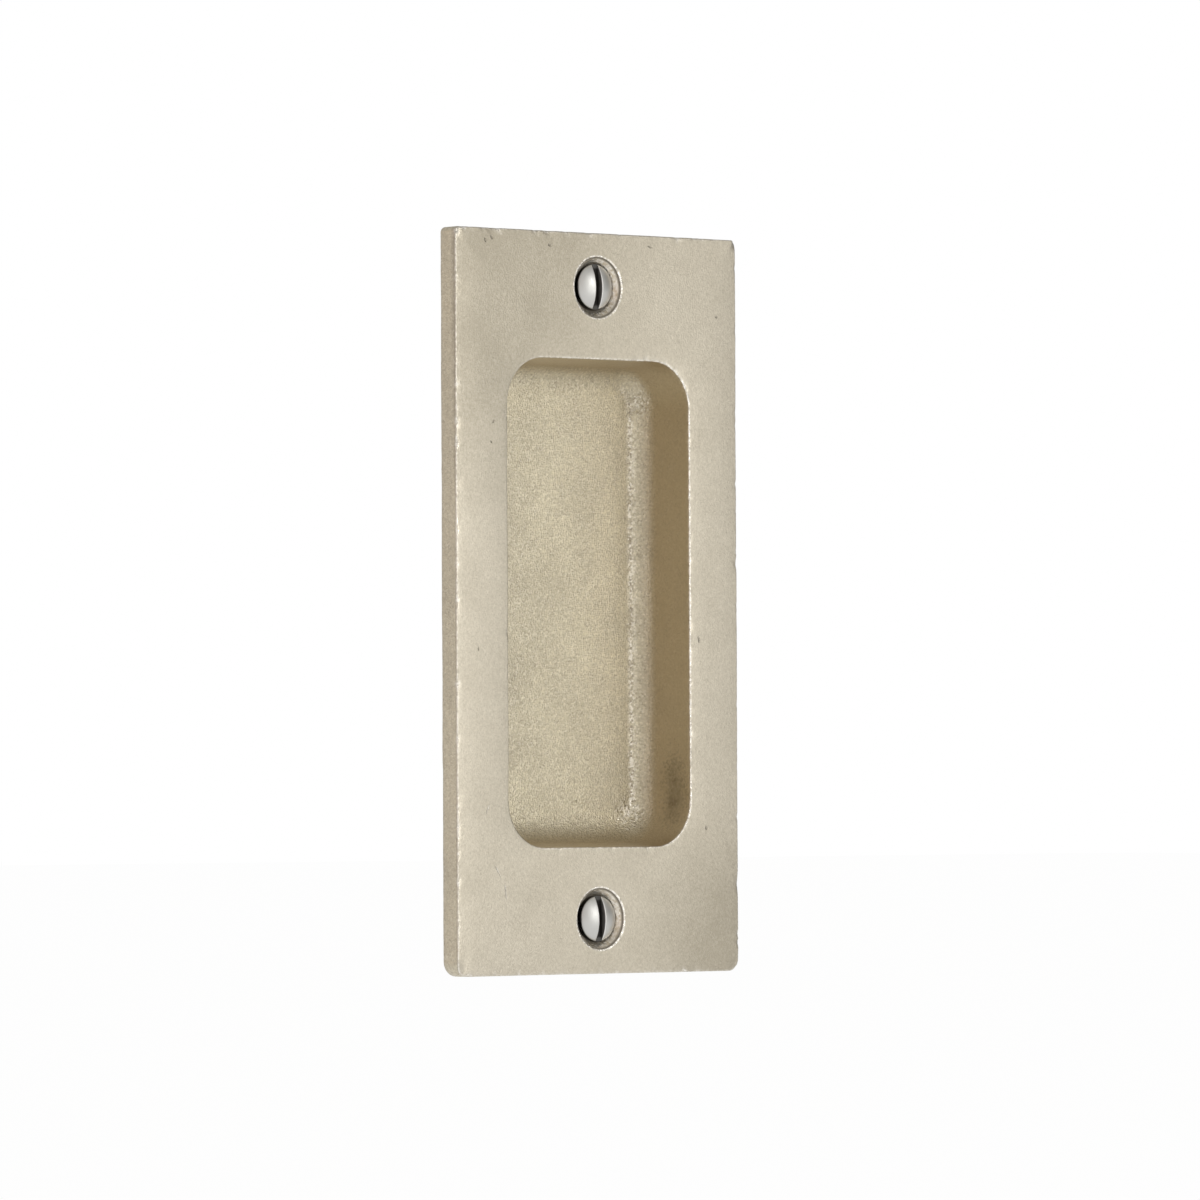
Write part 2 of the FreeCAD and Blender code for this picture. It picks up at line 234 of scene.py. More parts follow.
@dataclass(frozen=True)
class LoopLayout:
    """How points are spread round every loop of the pull, so that each loop has as many.

    A loop starts in the middle of the lower left corner and runs anticlockwise, seen from the front.

    Attributes:
        corner: Steps in each corner's arc, an even number.
        across: Steps in each straight side along X.
        up: Steps in each straight side along Z.
    """
    corner: int = 16
    across: int = 80
    up: int = 160

    @property
    def wide(self) -> int:
        """Steps from corner middle to corner middle along X."""
        return self.across + self.corner

    @property
    def tall(self) -> int:
        """Steps from corner middle to corner middle along Z."""
        return self.up + self.corner

    @property
    def size(self) -> int:
        """Points in a loop."""
        return 2 * (self.wide + self.tall)

    def spread(self) -> tuple[Array, Array]:
        """Find each point's place and facing on a square loop of half size one.

        A straight side runs evenly between its corners while its facing holds still. Over half a corner the
        place holds still while the facing turns by an eighth of a turn.

        Returns:
            Place and facing, each an array of (size, 2).
        """
        places, facings = [], []
        half = self.corner // 2
        for quarter, steps in enumerate((self.across, self.up, self.across, self.up)):
            step = np.arange(steps + self.corner)
            base = (quarter - 1) * math.pi / 2
            bend = np.clip(step / half - 1, -1, 0) + np.clip((step - half - steps) / half, 0, 1)
            along = np.clip((step - half) / steps, 0, 1) * 2 - 1
            out = np.array([math.cos(base), math.sin(base)])
            side = np.array([-math.sin(base), math.cos(base)])
            places.append(out + along[:, None] * side)
            angle = base + bend * math.pi / 4
            facings.append(np.stack([np.cos(angle), np.sin(angle)], axis=-1))
        return np.concatenate(places), np.concatenate(facings)

    def sweep(self, outline: Outline, section: Array, corner: Array | None = None) -> Array:
        """Carry a section round an outline.

        A point is the loop's place times the half size less the corner radius, plus its facing times the corner
        radius less the section's inset. Its Y is the section's own.

        Args:
            outline: The rounded rectangle.
            section: Inset and Y in millimetres, an array of (rows, places, 2).
            corner: Corner radius of each row and place, if it isn't the outline's own.

        Returns:
            Points in metres, an array of (rows, size, 3).
        """
        place, facing = self.spread()
        radius = outline.corner if corner is None else corner
        section = np.broadcast_to(section, (section.shape[0], self.size, 2))
        inset, depth = section[..., 0], section[..., 1]
        x = place[:, 0] * (outline.half_x - radius) + facing[:, 0] * (radius - inset)
        z = place[:, 1] * (outline.half_z - radius) + facing[:, 1] * (radius - inset)
        return np.stack([x, depth, z], axis=-1) * MM

    def patch(self, skin: Skin, loop: Array, points: Array, turned: bool, **shown: float) -> None:
        """Close a loop with a grid: each point blends the four sides, less the blend of the four corners.

        Args:
            skin: The surface.
            loop: The loop's point numbers.
            points: The loop's points.
            turned: True where the patch faces +Y.
            **shown: Strength of each trait.
        """
        wide, tall = self.wide, self.tall
        ring = np.append(loop, loop[0])
        numbers = np.zeros((wide + 1, tall + 1), int)
        numbers[:, 0] = ring[:wide + 1]
        numbers[-1, :] = ring[wide:wide + tall + 1]
        numbers[:, -1] = ring[wide + tall:2 * wide + tall + 1][::-1]
        numbers[0, :] = ring[2 * wide + tall:][::-1]
        sides = np.concatenate([points, points[:1]])
        bottom, right = sides[:wide + 1, None], sides[None, wide:wide + tall + 1]
        top, left = sides[wide + tall:2 * wide + tall + 1][::-1][:, None], sides[2 * wide + tall:][::-1][None]
        u = np.linspace(0, 1, wide + 1)[:, None, None]
        v = np.linspace(0, 1, tall + 1)[None, :, None]
        places = (1 - v) * bottom + v * top + (1 - u) * left + u * right
        places -= (1 - u) * (1 - v) * left[:, :1] + u * (1 - v) * right[:, :1]
        places -= (1 - u) * v * left[:, -1:] + u * v * right[:, -1:]
        numbers[1:-1, 1:-1] = skin.add_points(places[1:-1, 1:-1], **shown)
        skin.add_grid(numbers, turned=turned)


@dataclass(frozen=True)
class Nick:
    """A small dent or chip, deepest at its middle and fading like a bell curve. All in millimetres."""
    x: float
    y: float
    z: float
    reach: float
    depth: float

    def cut(self, points: Array) -> Array:
        """Find how far the nick lets each point in, in metres."""
        away = np.linalg.norm(points - np.array([self.x, self.y, self.z]) * MM, axis=-1)
        return self.depth * MM * np.exp(-(away / (self.reach * MM)) ** 2)


@dataclass(frozen=True)
class Chipping:
    """How thickly small chips lie along the edges, as the share of an edge's points. Lengths in millimetres."""
    seed: int = 17
    rim: tuple[float, float, float] = (0.12, 0.6, 0.03)  # recess: right side, top right corner, elsewhere
    rim_right: float = 0.5  # facing from which the right side starts
    rim_corner: Pair = (8.0, 37.0)  # X and Z from which the top right corner starts
    edge: tuple[float, float, float, float] = (0.24, 0.1, 0.3, 0.12)  # left, right, bottom and top left, elsewhere
    edge_side: float = 0.7  # facing from which a side of the plate starts
    reach: Pair = (0.25, 0.5)
    deepest: Pair = (0.12, 0.2)  # on the recess's rim and on the plate's edge
    shallowest: float = 0.2  # as a share of the deepest
    curve: float = 1.5  # power that makes most chips shallow

    def scatter(self, facing: Array, rim: Array, edge: Array) -> list[Nick]:
        """Scatter the chips.

        Args:
            facing: Facing of each point round a loop.
            rim: Points along the recess's rim.
            edge: Points along the plate's front edge.

        Returns:
            The chips, each at one of the points.
        """
        dice = np.random.default_rng(self.seed)
        right, up = facing.T
        side, corner, elsewhere = self.rim
        inner = np.where(right > self.rim_right, side, elsewhere)
        inner = np.where((rim[:, 0] > self.rim_corner[0] * MM) & (rim[:, 2] > self.rim_corner[1] * MM), corner, inner)
        left_side, right_side, ends, elsewhere = self.edge
        outer = np.where(right < 0, left_side, right_side)
        outer = np.where(np.abs(right) > self.edge_side, outer, elsewhere)
        outer = np.where((up < -self.edge_side) | ((up > self.edge_side) & (edge[:, 0] < 0)), ends, outer)
        found = []
        for points, share, deepest in zip((rim, edge), (inner, outer), self.deepest):
            struck = points[dice.random(len(points)) < share] / MM
            reach = dice.uniform(*self.reach, len(struck))
            depth = deepest * dice.uniform(self.shallowest, 1, len(struck)) ** self.curve
            found += [Nick(*place, *size) for place, size in zip(struck, np.stack([reach, depth], axis=-1))]
        return found


@dataclass(frozen=True)
class WornEdge:
    """An edge rounded by wear: middle radius, swing about it, and the waves of that swing. In millimetres."""
    radius: float
    swing: float
    seed: int
    waves: tuple[tuple[float, int], ...] = ((0.5, 22), (0.3, 6), (0.3, 2))  # share and wavelength

    def radii(self, points: Array) -> Array:
        """Find the radius at each point: the middle one plus the swing times the sum of waves, held to -1 to 1."""
        wave = sum(share * Waviness(self.seed + size, size).at(points) for share, size in self.waves)
        return self.radius + self.swing * np.clip(wave, -1, 1)


@dataclass(frozen=True)
class Countersink:
    """A countersunk screw hole, from the front face to the plate's back, in millimetres."""
    mouth: float = 5.32
    half_angle: float = 38.5
    rim: float = 0.42
    hole: float = 2.385
    packed: float = 2.12  # radius to which the hole narrows round the shank, closing the gap; it is darkened with the painted shade below the head
    packed_rows: int = 3
    mouth_steps: int = 5
    seat_shares: Profile = (0.05, 0.11, 0.2, 0.3, 0.4, 0.5, 0.6, 0.7, 0.8, 0.9, 1.0)
    bore_steps: int = 4
    back_rim: tuple[Pair, ...] = ((0.0, -0.15), (0.05, -0.04), (0.15, 0.0))  # past the hole's radius, and Y
    rim_wear: Profile = (0.5, 1, 1, 0.9, 0.3, 0, 0)
    # Painted light that brightens the seat, fading where the painted shade below the head starts.
    seat_light: float = 0.65
    seat_tan: float = 0.8
    crease_shade: Pair = (0.9, 0.5)  # painted shade in the crease where rim and seat meet
    dirt_and_shade: Pair = (1.45, 0.3)  # depth at which the painted shade under the head and down the bore starts, and over which it deepens
    shade: Pair = (0.5, 0.3)  # where the painted shade on the left side starts and over how much it deepens, as cosines of the bearing
    shade_depth: float = 0.3

    def section(self, front: float) -> tuple[Array, Array, Array, Array]:
        """Work out the hole's section: worn rim, straight seat, straight bore and rounded back.

        Args:
            front: Y of the front face.

        Returns:
            Radius and Y of each row from the mouth to the back; each row's wear with the seat's painted light, its
            painted shade, and its tan.
        """
        lean = math.radians(self.half_angle)
        down = np.array([-math.sin(lean), math.cos(lean)])
        mouth = np.array([self.mouth, front])
        rim = turn_between(mouth, np.array([1.0, 0.0]), down, self.rim, self.mouth_steps)[:, 0]
        seat_end = np.array([self.hole, front + (self.mouth - self.hole) / math.tan(lean)])
        seat = blend_rows(rim[-1], seat_end, np.array(self.seat_shares))
        back = np.array(self.back_rim) + (self.hole, 0.0)
        bore = blend_rows(seat_end, back[0], np.linspace(0, 1, self.bore_steps + 1)[1:])
        bore[:self.packed_rows, 0] = self.packed
        rows = np.concatenate([rim, seat, bore, back[1:]])
        deep = rows[:, 1] - front
        # Painted shade deep in the hole, under the head and down the bore.
        start, fade = self.dirt_and_shade
        grime_and_shade = np.clip((deep - start) / fade, 0, 1)
        # Wear on the rim, and painted light on the seat that fades where the painted shade starts.
        worn = np.concatenate([self.rim_wear, self.seat_light * (1 - grime_and_shade[len(self.rim_wear):])])
        # Painted shade in the crease just inside the rim.
        grime_and_shade[self.mouth_steps:self.mouth_steps + 2] = self.crease_shade
        return rows, worn, grime_and_shade, np.where(deep > self.rim, self.seat_tan, 0.0)

    def shaded(self, bearing: Array) -> Array:
        """Find how much painted shade the left side gets at each bearing from the axis."""
        start, fade = self.shade
        return np.clip((-np.cos(bearing) - start) / fade, 0, 1)


@dataclass
class PullBody:
    """The casting: plate, finger recess, cup and two countersunk holes. Sizes in millimetres, angles in degrees."""
    front: float  # Y of the front face
    cup_back: float
    plate: Outline
    recess: Outline = Outline(20.5, 41.75, 8.0)
    recess_aside: float = 0.22  # to the right of the plate's middle
    recess_depth: float = 11.4
    draft: float = 5.5
    floor_radius: float = 3.8
    floor_growth: float = 1.2  # towards the bottom
    cup_wall: float = 3.0
    root_radius: float = 1.0
    cup_radius: float = 4.5
    back_corner: float = 1.8  # the plate's corner radius at its back
    corner_growth: float = 0.8  # more of it at the bottom, less at the top
    screw_heights: Pair = (54.15, -54.05)
    hole: Countersink = Countersink()
    rim: WornEdge = WornEdge(0.26, 0.1, 21)
    front_edge: WornEdge = WornEdge(0.26, 0.1, 31)
    back_edge: WornEdge = WornEdge(0.55, 0.12, 41)

    # Steps of the mesh, and rows close to an end that keep a flat face flat there.
    layout: LoopLayout = LoopLayout()
    arc_steps: int = 5
    fillet_steps: int = 8
    wall_steps: int = 11
    side_steps: int = 6
    side_near: Pair = (0.03, 0.08)
    face_steps: int = 21
    face_near: float = 0.012
    cup_wall_steps: int = 5
    cup_steps: int = 9
    hole_rows: int = 12
    hole_columns: int = 28
    ring_shares: Profile = (0.2, 0.4, 0.6, 0.8, 0.94)

    # Traits of the rows across the recess's rim, along its foot, and across the plate's edges.
    rim_wear: Profile = (0.2, 0.7, 1, 1, 1, 0.4)
    rim_wear_and_highlight_at: Profile = (0.55, 0.45, 0.1)  # everywhere, more to the right, more to the top; the extra to the right and top is painted highlight
    rim_tan: Profile = (0.9, 0.4, 0, 0, 0, 0)
    # Painted highlight along the recess's foot, on its right side only.
    foot_highlight: Profile = (0.08, 0.42, 0.14)
    foot_sand: tuple[Pair, ...] = ((0, 1.0), (1, 1.15), (3, 1.1), (5, 0.8), (8, 0.3))  # row and strength
    wall_sand: float = 0.15
    edge_wear: Profile = (0.3, 0.9, 1, 1, 0.5, 0.1)
    back_wear: float = 0.2
    edge_wear_at: Pair = (0.3, 0.25)  # everywhere, more to the left and right
    edge_dirt: Profile = (0, 0, 0, 0, 0, 0.2, 0.25)
    back_dirt: float = 0.12
    side_sand: float = 0.5
    side_growth: Pair = (0.1, 0.9)  # share of the corners' growth at the side's first and last row

    nicks: tuple[Nick, ...] = (
        Nick(31.7, -4.3, 7.2, 0.6, 0.18),
        Nick(31.6, -4.3, -47.4, 0.5, 0.12),
        Nick(31.6, -4.3, -49.4, 0.5, 0.12),
        Nick(-31.6, -4.2, 30.1, 0.6, 0.15),
        Nick(-31.3, -4.4, 19.6, 0.6, 0.12),
        Nick(-31.5, -4.3, -33.1, 0.6, 0.15),
        Nick(-31.6, -4.3, -63.0, 1.3, 0.7),
        Nick(31.5, -4.3, -63.3, 1.0, 0.5),
        Nick(-23.7, -4.4, 63.1, 0.6, 0.15),
        Nick(-10.7, -4.4, 63.3, 0.6, 0.12),
        Nick(20.7, -4.4, -3.9, 0.5, 0.12),
    )
    chipping: Chipping = Chipping()
    bright_chip: float = 0.2  # depth from which a chip is bright
    waves: tuple[tuple[Waviness, float], ...] = ((Waviness(3, 26), 0.04), (Waviness(5, 7), 0.02))  # and depths
    crown: float = 0.17  # fall of the face towards the recess and towards the edge
    crown_fade: float = 3.5
    crown_depth: float = 1.2  # behind the front face, where the fall ends

    def worn_radius(self, edge: WornEdge) -> Array:
        """Vary an edge's radius slowly round the loop.

        Args:
            edge: The edge.

        Returns:
            Its radius at each point of a loop, in millimetres.
        """
        across, up = self.layout.spread()[0].T
        return edge.radii(np.stack([across * self.plate.half_x, across * 0, up * self.plate.half_z], axis=-1) * MM)

    def recess_rows(self) -> tuple[Array, Array, Array, Array]:
        """Carry the recess's section round: floor fillet, drafted wall and worn rim.

        Returns:
            The rows of points; how worn each row is, with painted highlight to the right, the top and along the right
            foot; how sandy and how tanned each row is.
        """
        slope = math.tan(math.radians(self.draft))
        out = np.array([-slope, -1.0]) / math.hypot(slope, 1)
        floor = np.array([self.recess_depth * slope, self.front + self.recess_depth])
        right, up = self.layout.spread()[1].T
        floor_radius = self.floor_radius + self.floor_growth * np.clip(-up, 0, 1)
        fillet = turn_between(floor, np.array([1.0, 0.0]), out, floor_radius, self.fillet_steps)
        edge = np.array([0.0, self.front])
        rim = turn_between(edge, -out, np.array([-1.0, 0.0]), self.worn_radius(self.rim), self.arc_steps)
        wall = blend_rows(fillet[-1], rim[0], inner_shares(self.wall_steps))
        everywhere, more_right, more_up = self.rim_wear_and_highlight_at
        worn = np.concatenate([np.zeros(len(fillet) + len(wall)), self.rim_wear])[:, None]
        # Wear on the rim, with painted highlight added towards the right and the top.
        worn = worn * (everywhere + more_right * right + more_up * up)
        # Painted highlight along the foot, on the right side only.
        worn[:len(self.foot_highlight)] = np.array(self.foot_highlight)[:, None] * np.clip(right, 0, 1)
        foot = np.interp(np.arange(len(fillet)), *zip(*self.foot_sand))
        sandy = np.concatenate([foot, np.full(len(wall), self.wall_sand), np.zeros(len(rim))])
        tanned = np.concatenate([np.linspace(0, 1, len(fillet)) ** 3, np.ones(len(wall)), self.rim_tan])
        aside = np.array([self.recess_aside, 0.0, 0.0]) * MM
        return self.layout.sweep(self.recess, np.concatenate([fillet, wall, rim])) + aside, worn, sandy, tanned

    def edge_rows(self) -> tuple[Array, Array, Array, Array]:
        """Carry the plate's edge round: tumbled front edge, side and as-cast back edge.

        The corners grow rounder towards the back, more so at the bottom.

        Returns:
            The rows of points, and how worn, how sandy and how grimy each row is.
        """
        place, facing = self.layout.spread()
        inward, backward = np.array([1.0, 0.0]), np.array([0.0, 1.0])
        edge = np.array([0.0, self.front])
        front = turn_between(edge, inward, backward, self.worn_radius(self.front_edge), self.arc_steps)
        back = turn_between(edge * 0, -backward, inward, self.worn_radius(self.back_edge), self.arc_steps)
        side = blend_rows(front[-1], back[0], inner_shares(self.side_steps, self.side_near))
        growth = np.linspace(*self.side_growth, len(side))
        growth = np.concatenate([np.zeros(len(front)), growth, np.ones(len(back))])
        back_corner = self.back_corner - self.corner_growth * place[:, 1]
        corner = self.plate.corner + growth[:, None] * (back_corner - self.plate.corner)
        everywhere, more_aside = self.edge_wear_at
        worn = np.concatenate([self.edge_wear, np.zeros(len(side)), np.full(len(back), self.back_wear)])[:, None]
        worn = worn * (everywhere + more_aside * facing[:, 0] ** 2)
        sandy = np.concatenate([np.zeros(len(front)), np.full(len(side) + len(back), self.side_sand)])
        grime_and_shade = np.concatenate([self.edge_dirt, np.zeros(len(side) - 1), np.full(len(back), self.back_dirt)])
        return self.layout.sweep(self.plate, np.concatenate([front, side, back]), corner), worn, sandy, grime_and_shade

    def cup_rows(self) -> Array:
        """Carry the cup's section round: root fillet, drafted wall and rounded back.

        Returns:
            The rows of points.
        """
        lean = math.radians(self.draft)
        growth = self.cup_wall / math.cos(lean) + self.front * math.tan(lean)
        outline = Outline(self.recess.half_x + growth, self.recess.half_z + growth, self.recess.corner + growth)
        down = np.array([math.sin(lean), math.cos(lean)])
        end = np.array([self.cup_back * math.tan(lean), self.cup_back])
        root = turn_between(end * 0, np.array([-1.0, 0.0]), down, self.root_radius, self.arc_steps)
        back = turn_between(end, -down, np.array([1.0, 0.0]), self.cup_radius, self.cup_steps)
        wall = blend_rows(root[-1], back[0], inner_shares(self.cup_wall_steps))
        return self.layout.sweep(outline, np.concatenate([root, wall, back]))

    def ring_numbers(self, ladder: Array, inner: int, outer: int, left: int, right: int) -> Array:
        """List the point numbers round a block of the ladder: out from its inner row and back.

        Args:
            ladder: Point numbers of all rows.
            inner: Row nearer to the recess or cup.
            outer: Row nearer to the plate's edge.
            left: First column.
            right: Last column.

        Returns:
            The numbers round the block, clockwise as seen from the front.
        """
        out = np.arange(inner, outer, 1 if outer > inner else -1)
        columns = np.arange(left, right)
        return np.concatenate([ladder[inner, columns], ladder[out, right], ladder[outer, columns[::-1] + 1],
                               ladder[out[::-1] + np.sign(outer - inner), left]])

    def bore(self, skin: Skin, front_ring: Array, back_ring: Array, points: Array, centre: float) -> None:
        """Join the front block's edge to the hole's rim, the hole's section, and the back block's edge.

        Every ring keeps the bearing that its points have from the hole's axis on the front face, which turns
        slowly into the bearing on the back.

        Args:
            skin: The surface.
            front_ring: Point numbers round the block taken out of the front face.
            back_ring: Point numbers round the block taken out of the back face.
            points: The ladder's points by number.
            centre: Z of the hole's axis, in millimetres.
        """
        rows, *shown = self.hole.section(self.front)
        first, last = points[front_ring], points[back_ring]
        bearings = [np.unwrap(np.arctan2(ring[:, 2] - centre * MM, ring[:, 0])) for ring in (first, last)]
        bearings[1] += 2 * np.pi * np.round((bearings[0] - bearings[1]).mean() / (2 * np.pi))
        bearing = blend_rows(*bearings, np.linspace(0, 1, len(rows)))
        radius, depth = rows[:, :1] * MM, np.broadcast_to(rows[:, 1:] * MM, bearing.shape)
        tube = np.stack([radius * np.cos(bearing), depth, centre * MM + radius * np.sin(bearing)], axis=-1)
        shares = np.array(self.ring_shares)
        near, far = blend_rows(first, tube[0], shares), blend_rows(tube[-1], last, 1 - shares[::-1])
        middle = np.concatenate([near, tube, far])
        worn, grimy, tanned = (np.pad(strength, len(shares))[:, None] for strength in shown)
        # Painted shade on the hole's left side, behind the front face.
        shaded = np.pad(self.hole.shaded(bearing), ((len(shares), len(shares)), (0, 0)))
        shaded *= middle[..., 1] > self.front * MM + self.hole.shade_depth * MM
        as_cast = (np.arange(len(middle)) > len(shares) + len(tube) - 2)[:, None]
        numbers = skin.add_points(middle, worn=worn, sandy=as_cast, grimy=np.maximum(grimy, shaded), tanned=tanned)
        grid = np.concatenate([front_ring[None], numbers, back_ring[None]])
        skin.add_grid(np.concatenate([grid, grid[:, :1]], axis=1))

    def nearest_row(self, points: Array, rows: range, height: float) -> int:
        """Find the row whose point above the recess's middle is nearest to a height in millimetres."""
        top = self.layout.wide + self.layout.tall + self.layout.wide // 2
        return rows[int(np.abs(points[list(rows), top, 2] - height * MM).argmin())]

    def build(self) -> bpy.types.Object:
        """Build the casting as one closed surface, then let its faces and edges be uneven.

        Rows of loops run from the recess's floor over the front, the edge, the back and the cup. Two grids
        close the ends, and two blocks of faces give way to the screw holes.

        Returns:
            The finished piece.
        """
        skin = Skin()
        recess, recess_wear_and_highlight, recess_sand, recess_tan = self.recess_rows()
        edge, edge_worn, edge_sand, edge_grime = self.edge_rows()
        cup = self.cup_rows()
        shares = np.append(inner_shares(self.face_steps, (self.face_near,)), 1 - self.face_near)
        blocks = [recess, blend_rows(recess[-1], edge[0], shares), edge, blend_rows(edge[-1], cup[0], shares), cup]
        starts = np.cumsum([0] + [len(block) for block in blocks])
        points = np.concatenate(blocks)
        size = self.layout.size
        plain = np.zeros((len(shares), size))
        worn = np.concatenate([recess_wear_and_highlight, plain, edge_worn, plain, np.zeros((len(cup), size))])
        chips = self.chipping.scatter(self.layout.spread()[1], recess[-3], edge[2])
        for chip in chips:
            worn = np.maximum(worn, chip.cut(points) / (self.bright_chip * MM))
        faint = np.zeros(len(shares))
        sandy = np.concatenate([recess_sand, faint, edge_sand, faint + 1, np.ones(len(cup))])[:, None]
        tanned = np.concatenate([recess_tan, np.zeros(len(points) - len(recess))])[:, None]
        grimy = np.zeros((len(points), 1))
        grimy[starts[2]:starts[3], 0] = edge_grime
        ladder = skin.add_points(points, worn=np.clip(worn, 0, 1), sandy=sandy, tanned=tanned, grimy=grimy)
        kept = np.ones((len(points) - 1, size), bool)
        half = self.hole_rows // 2
        faces = [range(starts[block], starts[block + 1]) for block in (1, 3)]
        front_row, back_row = (self.nearest_row(points, rows, self.screw_heights[0]) for rows in faces)
        flat = points.reshape(-1, 3)
        bottom = self.layout.wide // 2
        top = bottom + self.layout.wide + self.layout.tall
        for height, middle in zip(self.screw_heights, (top, bottom)):
            left, right = middle - self.hole_columns // 2, middle + self.hole_columns // 2
            front_ring = self.ring_numbers(ladder, front_row - half, front_row + half, left, right)
            back_ring = self.ring_numbers(ladder, back_row + half, back_row - half, left, right)
            for row in (front_row, back_row):
                kept[row - half:row + half, left:right] = False
            self.bore(skin, front_ring, back_ring, flat, height)
        skin.add_grid(np.concatenate([ladder, ladder[:, :1]], axis=1), kept)
        self.layout.patch(skin, ladder[0], points[0], False, sandy=1.0)
        self.layout.patch(skin, ladder[-1], points[-1], True, sandy=1.0)
        return skin.make("cast_pull_body", self.weather(skin, [*self.nicks, *chips]))

    def weather(self, skin: Skin, nicks: list[Nick]) -> Array:
        """Let the surface in along its normals by a slow wave and a quicker one, never out.

        Tumbling also takes the face down a little round the recess and along the plate's edge, less the further
        from either, so that each side of the frame is slightly crowned. Each nick moves all its surroundings one
        way, against the mean of their normals, so that the surface never folds.

        Args:
            skin: The surface as drawn.
            nicks: Dents and chips.

        Returns:
            The points as cast and worn.
        """
        places = np.concatenate(skin.points)
        inward = sum(deep * MM * (0.5 + 0.5 * np.clip(wave.at(places), -1, 1)) for wave, deep in self.waves)
        sides = np.abs(places[:, (0, 2)]) / MM
        corner = self.recess.corner
        near = np.maximum(sides - (self.recess.half_x - corner, self.recess.half_z - corner), 0)
        recess_away = np.clip(np.linalg.norm(near, axis=1) - corner, 0, None)
        edge_away = np.clip((self.plate.half_x, self.plate.half_z) - sides, 0, None).min(axis=1)
        crowned = self.crown * MM * (np.exp(-recess_away / self.crown_fade) + np.exp(-edge_away / self.crown_fade))
        crowned *= np.clip(1 - (places[:, 1] / MM - self.front) / self.crown_depth, 0, 1)
        normals = skin.normals(places)
        moved = places - normals * inward[:, None] + crowned[:, None] * np.array([0.0, 1.0, 0.0])
        for nick in nicks:
            struck = nick.cut(places)
            way = struck @ normals
            moved -= np.outer(struck, way / np.linalg.norm(way))
        return moved


